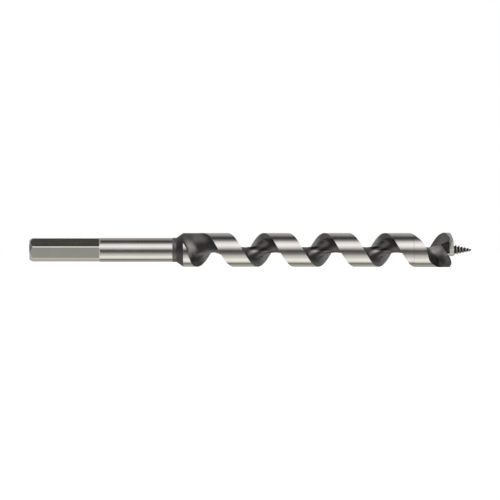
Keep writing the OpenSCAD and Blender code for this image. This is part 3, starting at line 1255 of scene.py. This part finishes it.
@dataclass
class CutterHead:
    """Head with the cutting lip, the throat behind it, the spur wing and the nose boss."""

    lip_lead: float = 16.0
    rim_ground: float = 15.6
    lip_relief: float = 0.036
    relief_reach: float = 0.7
    throat_arc: float = 126.0
    lip_thickness: float = 2.0
    lip_slant: float = 0.3
    throat_depth: float = 4.5
    floor_wall: float = 0.37
    floor_slope: float = 32.0
    throat_rise: float = 2.9
    throat_top: float = 4.35
    throat_foot: float = 1.8
    throat_toe: float = 0.2
    throat_corner: float = 0.2
    throat_lean: float = 1.05
    spur_back: float = 0.9
    spur_dish: float = 1.7
    spur_round: float = 1.1
    spur_in: float = 2.0
    lip_round: float = 0.35
    lip_round_power: int = 4
    relief_end: float = 0.6
    spur_begin: float = 0.88
    open_span: Span = (0.4, 0.7)
    nose_r: float = 3.25
    nose_length: float = 3.2
    nose_proud: float = 0.12
    core_r: float = 2.3
    core_grow: float = 7.0
    core_full: float = 3.0
    lip_bend: float = 93.0
    bend_full: float = 2.0
    lip_grow: float = 5.2
    lip_full: float = 2.5
    wing_shift: float = 1.3
    wing_grow: float = 5.0
    pocket_start: float = 6.0
    pocket_grow: float = 1.8
    pocket_cut: float = 2.2
    pocket_fade: float = 4.8
    pocket_back: float = 0.9
    ring_power: float = 0.85
    bore_r: float = 1.03
    bore_depth: float = 3.3
    smooth_angle: float = 32.0
    half_columns: int = 60
    rows: int = 150
    front_rows: int = 30
    nose_sides: int = 96
    bore_sides: int = 48
    oxide_and_painted_light: HeadOxideAndPaintedLight = HeadOxideAndPaintedLight()

    @property
    def front_end(self) -> float:
        """X of the lip's front, a little behind the nose."""
        return SIZES.head_end - self.nose_proud

    @property
    def spur_tip_r(self) -> float:
        """Radius at which the spur stands furthest forward."""
        return SIZES.head_r - self.spur_in

    def _lip_edge(self, x: Array) -> Array:
        """Angle of the lip's side of the flute."""
        grown = self.lip_lead * ramp(SIZES.head_end - self.lip_grow, SIZES.head_end - self.lip_full, x)
        return np.minimum(SIZES.lip_turn, SIZES.lead_edge(x) + grown)

    def _spur_edge(self, x: Array) -> Array:
        """Angle of the spur's side of the flute.

        Args:
            x: places along the axis, in millimetres.

        Returns:
            The angle in degrees.
        """
        along = x - SIZES.head_start
        deep = self.pocket_start + self.pocket_grow
        moved = (self.wing_shift * ramp(0.0, self.wing_grow, along)
                 - self.pocket_cut * ramp(self.pocket_start, deep, along)
                 + self.pocket_back * ramp(deep, deep + self.pocket_fade, along))
        return np.minimum(SIZES.lip_turn + self.throat_arc,
                          SIZES.lead_edge(x) + SIZES.flute_arc - 360.0 / SIZES.pitch * moved)

    def _point(self, x: Array, column: Array) -> tuple[Array, Array]:
        """Angle and radius of a point of the head's skin at x.

        Args:
            x: places along the axis, in millimetres.
            column: columns of the skin.

        Returns:
            The angle and the radius.
        """
        n = self.half_columns
        lip, spur = self._lip_edge(x), self._spur_edge(x)
        grown = ramp(SIZES.head_end - self.core_grow, SIZES.head_end - self.core_full, x)
        bend = mix(SIZES.undercut, self.lip_bend,
                   ramp(SIZES.head_end - self.core_grow, SIZES.head_end - self.bend_full, x))
        depth = SIZES.head_r - mix(SIZES.core_r, self.core_r, grown)
        side = np.clip(2.0 * column / n - 1.0, -1.0, 1.0)
        flute = (spur + lip) / 2.0 + (spur - lip) / 2.0 * sind(side * bend) / sind(bend)
        radius = SIZES.head_r - depth + depth * (1.0 - cosd(side * bend)) / (1.0 - cosd(bend))
        land = mix(spur, lip + 360.0, column / n - 1.0)
        on_land = column > n
        return np.where(on_land, land, flute), np.where(on_land, SIZES.head_r, radius)

    def _lip_fall(self, share: Array, radius: Array) -> Array:
        """Distance of the relieved front behind the lip.

        Args:
            share: 0 at the lip to 1 at the spur, round the back.
            radius: distances from the axis.

        Returns:
            The distance in millimetres.
        """
        relief = self.lip_relief * (360.0 - self.throat_arc) * share
        relief = relief * ramp(self.relief_reach * self.nose_r, self.relief_reach * SIZES.head_r, radius)
        return relief + self.lip_round * (radius / SIZES.head_r) ** self.lip_round_power

    def _spur_fall(self, radius: Array) -> Array:
        """Distance of the spur's front behind the lip.

        Args:
            radius: distances from the axis.

        Returns:
            The distance in millimetres.
        """
        inner = self.spur_dish * ((self.spur_tip_r - radius) / (self.spur_tip_r - self.nose_r)) ** 2
        outer = self.spur_round * ((radius - self.spur_tip_r) / (SIZES.head_r - self.spur_tip_r)) ** 2
        return self.spur_back + np.where(radius < self.spur_tip_r, inner, outer)

    def _front(self, turn: Array, radius: Array) -> Array:
        """X of the head's front at an angle and radius.

        Args:
            turn: angles in degrees.
            radius: distances from the axis.

        Returns:
            The place along the axis, in millimetres.
        """
        rest = 360.0 - self.throat_arc
        share = np.mod(SIZES.lip_turn - turn, 360.0) / rest
        across = (360.0 / rest - share) * rest / self.throat_arc
        lip, spur = self._lip_fall(np.minimum(share, self.relief_end), radius), self._spur_fall(radius)
        behind = mix(lip, spur, ramp(self.relief_end, self.spur_begin, share))
        open_side = mix(self._lip_fall(0.0 * share, radius), spur, ramp(*self.open_span, across))
        return self.front_end - np.where(share <= 1.0, behind, open_side)

    def _rim(self, column: Array) -> Array:
        """X at which a column of the skin meets the front.

        Args:
            column: columns of the skin.

        Returns:
            The place along the axis, in millimetres.
        """
        turn, radius = self._point(np.full(column.shape, SIZES.head_end), column)
        x = self._front(turn, radius)
        x = np.where(column == 0, self.front_end - self._lip_fall(0.0 * radius, radius), x)
        return np.where(column == self.half_columns, self.front_end - self._spur_fall(radius), x)

    def _side(self, column: Array, row: Array) -> Array:
        """Point of the skin between the seam and the front.

        Args:
            column: column numbers of the grid points.
            row: row numbers of the grid points.

        Returns:
            The points in metres.
        """
        around = np.mod(column, 2 * self.half_columns).astype(float)
        x = mix(SIZES.head_start, self._rim(around), (row / self.rows) ** self.ring_power)
        turn, radius = self._point(x, around)
        return on_axis(x, radius, turn)

    def _face(self, column: Array, row: Array) -> Array:
        """Point of the front between its flute edge and its land edge.

        Args:
            column: column numbers of the grid points.
            row: row numbers of the grid points.

        Returns:
            The points in metres.
        """
        full = np.full(column.shape, self.rows)
        first = self._side(column, full)
        last = self._side(2 * self.half_columns - column, full)
        point = mix(first, last, (row / self.front_rows)[:, None])
        turn = np.degrees(np.arctan2(-point[:, 1], point[:, 2]))
        point[:, 0] = self._front(turn, np.hypot(point[:, 1], point[:, 2]) / MM) * MM
        edge = (row == 0) | (column == 0) | (column == self.half_columns)
        point = np.where(edge[:, None], first, point)
        return np.where((row == self.front_rows)[:, None], last, point)

    def _throat(self) -> bpy.types.Object:
        """Three-sided pocket behind the lip, with a flat floor.

        Returns:
            The solid that cuts the pocket.
        """
        back = SIZES.head_end - self.lip_thickness
        outline = [
            (back - self.throat_depth, self.throat_rise),
            (back - self.lip_slant - self.throat_corner, self.throat_top),
            (back - self.lip_slant, self.throat_top - self.throat_corner),
            (back, -self.throat_foot),
            (back - self.throat_lean, -self.throat_foot - self.throat_toe),
        ]
        Workshop.clear()
        bpy.ops.mesh.primitive_circle_add(vertices=len(outline), radius=MM, fill_type="NGON")
        cutter = bpy.context.object
        cutter.name = cutter.data.name = "throat_cutter"
        pivot = SIZES.head_end - self.bore_depth
        slope = math.tan(math.radians(self.floor_slope))
        Workshop.place(cutter, np.array([
            (x, (pivot - x) * slope - self.bore_r - self.floor_wall, z) for x, z in outline]) * MM)
        Workshop.pick(cutter, np.ones(len(outline), dtype=bool))
        bpy.ops.mesh.extrude_region_move(TRANSFORM_OT_translate={"value": (0, -SIZES.head_r * MM, 0)})
        Workshop.turn_out()
        # The pocket's faces take the near-black painted shade.
        Workshop.dress(cutter, [THROAT_PAINTED_SHADE])
        return cutter

    def _zones(self, skin: bpy.types.Object) -> Array:
        """Zone of each face of the skin: the lip and the land's front rim are ground as the front is.

        Args:
            skin: the head's skin, still open.

        Returns:
            Number of each face's zone.
        """
        column = Workshop.face_means(skin, Workshop.columns_of(skin))
        x = Workshop.face_means(skin, Workshop.points(skin)[:, 0]) / MM
        in_flute = column < self.half_columns
        lip = (column < self.half_columns / 2) & (x > SIZES.head_end - self.lip_thickness - self.lip_slant)
        rim = ~in_flute & (x - SIZES.head_start > self.rim_ground)
        zone = np.where(in_flute, Zone.FLUTE.value, Zone.LAND.value)
        return np.where(lip | rim, Zone.FRONT.value, zone)

    def build(self) -> bpy.types.Object:
        """Sweeps the head, adds its front and nose and cuts its throat.

        Returns:
            The finished head.
        """
        skin = Workshop.sheet("cutter_head_form", 2 * self.half_columns, self.rows, self._side)
        finishes = [HEAD_OXIDE, BRIGHT_LAND, LIP_GROUND]
        Workshop.dress(skin, finishes, self._zones(skin))
        along = Workshop.points(skin)[:, 0] / MM - SIZES.head_start
        # The head's flute tone with its painted light and shade.
        Workshop.store(skin, "shade", self.oxide_and_painted_light.tone(Workshop.columns_of(skin) / self.half_columns, along))
        face = Workshop.sheet("head_front", self.half_columns, self.front_rows, self._face)
        Workshop.dress(face, finishes, np.full(len(face.data.polygons), Zone.FRONT.value))
        Workshop.activate(skin)
        face.select_set(True)
        bpy.ops.object.join()
        Workshop.fill(skin, SIZES.head_start)
        Workshop.weld(skin)
        nose = Workshop.drum("nose_boss", SIZES.head_end - self.nose_length, SIZES.head_end,
                             self.nose_r, self.nose_sides)
        Workshop.dress(nose, [NOSE_GROUND_SHEEN])
        Workshop.join(skin, nose, Join.UNION)
        Workshop.join(skin, self._throat(), Join.CUT)
        bore = Workshop.drum("stem_drill", SIZES.head_end - self.bore_depth, SIZES.head_end + OVERCUT,
                             self.bore_r, self.bore_sides)
        # The bore's faces take the same near-black painted shade.
        Workshop.dress(bore, [THROAT_PAINTED_SHADE])
        Workshop.join(skin, bore, Join.CUT)
        Workshop.smooth(skin, self.smooth_angle)
        return skin


@dataclass
class LeadScrew:
    """Conical feed screw with a stem in the nose."""

    radius: float = 2.95
    depth: float = 0.95
    pitch: float = 1.58
    start: float = 1.27
    point_length: float = 0.7
    point_r: float = 0.75
    point_depth: float = 0.3
    point_power: float = 0.6
    closed_at: float = 0.995
    ridge_power: float = 2.4
    # Crests that take the bright tone of wear and painted sheen.
    wear_and_sheen_ridge: Span = (0.85, 1.0)
    stem_r: float = 1.0
    stem_length: float = 3.0
    smooth_angle: float = 40.0
    columns: int = 72
    rows: int = 190

    @property
    def length(self) -> float:
        """Length in front of the head."""
        return SIZES.tip - SIZES.head_end

    def _thread(self, column: Array, row: Array) -> tuple[Array, Array, Array, Array]:
        """Place, radius, angle and ridge height of each grid point.

        Args:
            column: column numbers of the grid points.
            row: row numbers of the grid points.

        Returns:
            The four values, in millimetres and degrees, the ridge from 0 to 1.
        """
        x = row / self.rows * self.length * self.closed_at
        turn = 360.0 * column / self.columns
        share = unit(0.0, self.length - self.point_length, x)
        turns = (x - self.start) / self.pitch - turn / 360.0
        ridge = np.abs(cosd(180.0 * np.mod(turns, 1.0))) ** self.ridge_power
        crest = mix(self.radius, self.point_r, share)
        radius = crest - mix(self.depth, self.point_depth, share) * (1.0 - ridge)
        end = (1.0 - unit(self.length - self.point_length, self.length, x)) ** self.point_power
        return SIZES.head_end + x, radius * end, turn, ridge

    def build(self) -> bpy.types.Object:
        """Rolls the thread, closes its point and draws out the stem.

        Returns:
            The finished screw.
        """
        kept: dict[str, Array] = {}

        def shape(column: Array, row: Array) -> Array:
            """Lays the grid points on the thread and keeps their crest wear and painted sheen.

            Args:
                column: column numbers of the grid points.
                row: row numbers of the grid points.

            Returns:
                The points in metres.
            """
            x, radius, turn, ridge = self._thread(column.astype(float), row.astype(float))
            kept["worn"] = ramp(*self.wear_and_sheen_ridge, ridge)
            return on_axis(x, radius, turn)

        screw = Workshop.sheet("lead_screw_thread", self.columns, self.rows, shape)
        Workshop.store(screw, "worn", kept["worn"])
        Workshop.dress(screw, [SCREW_OXIDE])
        Workshop.weld(screw)
        Workshop.fill(screw, float(Workshop.points(screw)[:, 0].max()) / MM)
        Workshop.fill(screw, SIZES.head_end)
        Workshop.draw_pin(screw, SIZES.head_end, self.radius, self.stem_r, self.stem_length)
        Workshop.smooth(screw, self.smooth_angle)
        return screw


@dataclass
class Studio:
    """Pale floor, banded soft light and the camera of the side view.

    The bands lie round the bit's axis. Each is a colour at an angle in degrees, 0 towards the camera and 90
    straight up. The left, right and end bands take over where a reflection leans along the axis.
    """

    frame_width: float = 0.2604
    distance: float = 2.0
    clip: float = 0.01
    aim: tuple[float, float, float] = (0.11473, 0.0, -0.00005)
    sensor: float = 36.0
    fill_level: float = 0.55
    floor_glow: float = 0.55
    floor_tone: Colour = (0.9, 0.9, 0.9)
    floor_size: float = 12.0
    floor_gap: float = 0.0001
    lamp_front: float = 0.9
    lamp_height: float = 1.1
    lamp_tilt: float = 40.0
    lamp_size: Span = (2.4, 0.9)
    lamp_power: float = 6.0
    bands: list[tuple[float, Colour]] = field(default_factory=lambda: [
        (-180.0, (0.5, 0.5, 0.47)),
        (-128.0, (0.43, 0.42, 0.38)),
        (-117.0, (0.31, 0.305, 0.27)),
        (-107.0, (0.17, 0.17, 0.148)),
        (-101.0, (0.24, 0.237, 0.215)),
        (-92.0, (0.72, 0.71, 0.655)),
        (-83.0, (1.0, 0.99, 0.92)),
        (-72.0, (1.05, 1.04, 0.965)),
        (-46.0, (0.64, 0.64, 0.59)),
        (-24.0, (0.19, 0.19, 0.18)),
        (-10.0, (0.065, 0.061, 0.057)),
        (-2.0, (0.1, 0.096, 0.092)),
        (9.0, (0.49, 0.475, 0.465)),
        (21.0, (0.93, 0.912, 0.895)),
        (34.0, (1.13, 1.11, 1.095)),
        (50.0, (0.9, 0.882, 0.865)),
        (67.0, (0.28, 0.272, 0.272)),
        (80.0, (0.042, 0.042, 0.042)),
        (94.0, (0.05, 0.05, 0.05)),
        (118.0, (0.31, 0.302, 0.302)),
        (146.0, (0.48, 0.47, 0.46)),
        (180.0, (0.5, 0.5, 0.47)),
    ])
    left_bands: list[tuple[float, Colour]] = field(default_factory=lambda: grey_bands([
        (-180.0, 0.44), (-140.0, 0.55), (-112.0, 0.66), (-97.0, 0.81), (-85.0, 0.81), (-70.0, 0.62),
        (-55.0, 0.42), (-40.0, 0.26), (-25.0, 0.18), (-10.0, 0.2), (7.0, 0.37), (25.0, 0.66),
        (45.0, 0.75), (67.0, 0.62), (82.0, 0.51), (97.0, 0.4), (120.0, 0.33), (180.0, 0.44)]))
    right_bands: list[tuple[float, Colour]] = field(default_factory=lambda: grey_bands([
        (-180.0, 0.66), (-140.0, 0.88), (-112.0, 0.73), (-97.0, 0.84), (-82.0, 0.92), (-67.0, 0.77),
        (-52.0, 0.48), (-37.0, 0.29), (-22.0, 0.22), (-7.0, 0.33), (7.0, 0.79), (22.0, 1.98),
        (37.0, 2.33), (52.0, 1.87), (67.0, 0.75), (82.0, 0.29), (97.0, 0.35), (112.0, 0.88),
        (127.0, 1.1), (150.0, 0.79), (180.0, 0.66)]))
    end_bands: list[tuple[float, Colour]] = field(default_factory=lambda: grey_bands([
        (-180.0, 0.53), (-140.0, 0.57), (-112.0, 0.75), (-92.0, 0.26), (-75.0, 0.17), (75.0, 0.17),
        (92.0, 0.31), (112.0, 1.01), (140.0, 0.79), (160.0, 0.62), (180.0, 0.53)]))
    left_span: Span = (-0.26, -0.12)
    right_span: Span = (0.12, 0.26)
    end_span: Span = (0.6, 0.8)
    slant: float = 60.0

    def set_up(self) -> None:
        """Makes the camera, the floor, the lamp and the world."""
        self._camera()
        self._floor()
        self._lamp()
        self._world()
        bpy.context.scene.view_settings.view_transform = "Standard"

    def _camera(self) -> None:
        """Places the camera square to the bit's axis."""
        Workshop.clear()
        x, y, z = self.aim
        bpy.ops.object.camera_add(location=(x, y - self.distance, z), rotation=(math.pi / 2, 0, 0))
        camera = bpy.context.object
        camera.name = "side_camera"
        camera.data.sensor_width = self.sensor
        camera.data.lens = self.sensor * self.distance / self.frame_width
        camera.data.clip_start = self.clip
        bpy.context.scene.camera = camera

    def _floor(self) -> None:
        """Lays a pale floor under the bit and keeps its shadow."""
        Workshop.clear()
        height = CAD_BOX[0][2] - self.floor_gap
        bpy.ops.mesh.primitive_plane_add(size=self.floor_size, location=(self.aim[0], 0, height))
        floor = bpy.context.object
        floor.name = "pale_floor"
        floor.visible_glossy = False
        paint = bpy.data.materials.new("pale_floor")
        paint.use_nodes = True
        bench = Bench(paint.node_tree)
        matt = bench.add("ShaderNodeBsdfDiffuse", None, {"Color": (*self.floor_tone, 1.0)})
        glow = bench.add("ShaderNodeEmission", None, {"Strength": bench.direct_rays() * self.floor_glow})
        both = bench.add("ShaderNodeAddShader", None, {0: bench.out(matt), 1: bench.out(glow)})
        bench.add("ShaderNodeOutputMaterial", None, {"Surface": bench.out(both)})
        floor.data.materials.append(paint)

    def _lamp(self) -> None:
        """Hangs a wide soft lamp over the camera's side."""
        Workshop.clear()
        bpy.ops.object.light_add(type="AREA", location=(self.aim[0], -self.lamp_front, self.lamp_height),
                                 rotation=(math.radians(self.lamp_tilt), 0, 0))
        lamp = bpy.context.object
        lamp.name = "soft_lamp"
        lamp.data.shape = "RECTANGLE"
        lamp.data.size, lamp.data.size_y = self.lamp_size
        lamp.data.energy = self.lamp_power
        lamp.visible_glossy = False

    @staticmethod
    def _band(bench: Bench, angle: Wire, bands: list[tuple[float, Colour]]) -> Wire:
        """Colour of a ring of bands at an angle in radians.

        Args:
            bench: bench of the world.
            angle: wire with the angle.
            bands: colours by angle in degrees.

        Returns:
            The colour.
        """
        stops = [((turn + 180.0) / 360.0, colour) for turn, colour in bands]
        node = bench.add("ShaderNodeValToRGB", {"stops": stops, "interpolation": "EASE"},
                         {"Fac": bench.math("FRACT", angle / (2.0 * math.pi) + 0.5)})
        return bench.out(node)

    def _world(self) -> None:
        """Wraps the bands round the bit's axis for reflections, with white behind it for the camera."""
        world = bpy.data.worlds.new("studio")
        bpy.context.scene.world = world
        world.use_nodes = True
        bench = Bench(world.node_tree)
        way = bench.add("ShaderNodeSeparateXYZ", None, {
            0: bench.out(bench.add("ShaderNodeTexCoord"), "Generated")})
        across = bench.out(way, "X")
        square = bench.math("ARCTAN2", bench.out(way, "Z"), -bench.out(way, "Y"))
        angle = square + across * math.radians(self.slant)
        seen = self._band(bench, square, self.bands)
        for share, bands in (
            (1.0 - bench.step(across, self.left_span), self.left_bands),
            (bench.step(across, self.right_span), self.right_bands),
            (bench.step(bench.math("ABSOLUTE", across), self.end_span), self.end_bands),
        ):
            seen = bench.blend(share, seen, self._band(bench, angle, bands))
        camera_ray = bench.out(bench.add("ShaderNodeLightPath"), "Is Camera Ray")
        shown = bench.blend(camera_ray, seen, WHITE)
        light = bench.blend(bench.direct_rays(), (self.fill_level,) * 3, shown)
        sky = bench.add("ShaderNodeBackground", None, {"Color": light, "Strength": 1.0})
        bench.add("ShaderNodeOutputWorld", None, {"Surface": bench.out(sky)})


def main() -> None:
    """Builds the pieces in order, dresses them and sets up the studio."""
    logging.basicConfig(level=logging.INFO, format="%(name)s: %(message)s")
    Workshop.hand_over(HexShank().build(), "hex_shank", "shank_steel")
    Workshop.hand_over(WeldCollar().build(), "weld_collar", "collar_oxide")
    Workshop.hand_over(SpiralBody().build(), "spiral_body", "flight_steel")
    Workshop.hand_over(CutterHead().build(), "cutter_head", "head_steel")
    Workshop.hand_over(LeadScrew().build(), "lead_screw", "screw_oxide")
    Studio().set_up()


if __name__ == "__main__":
    main()
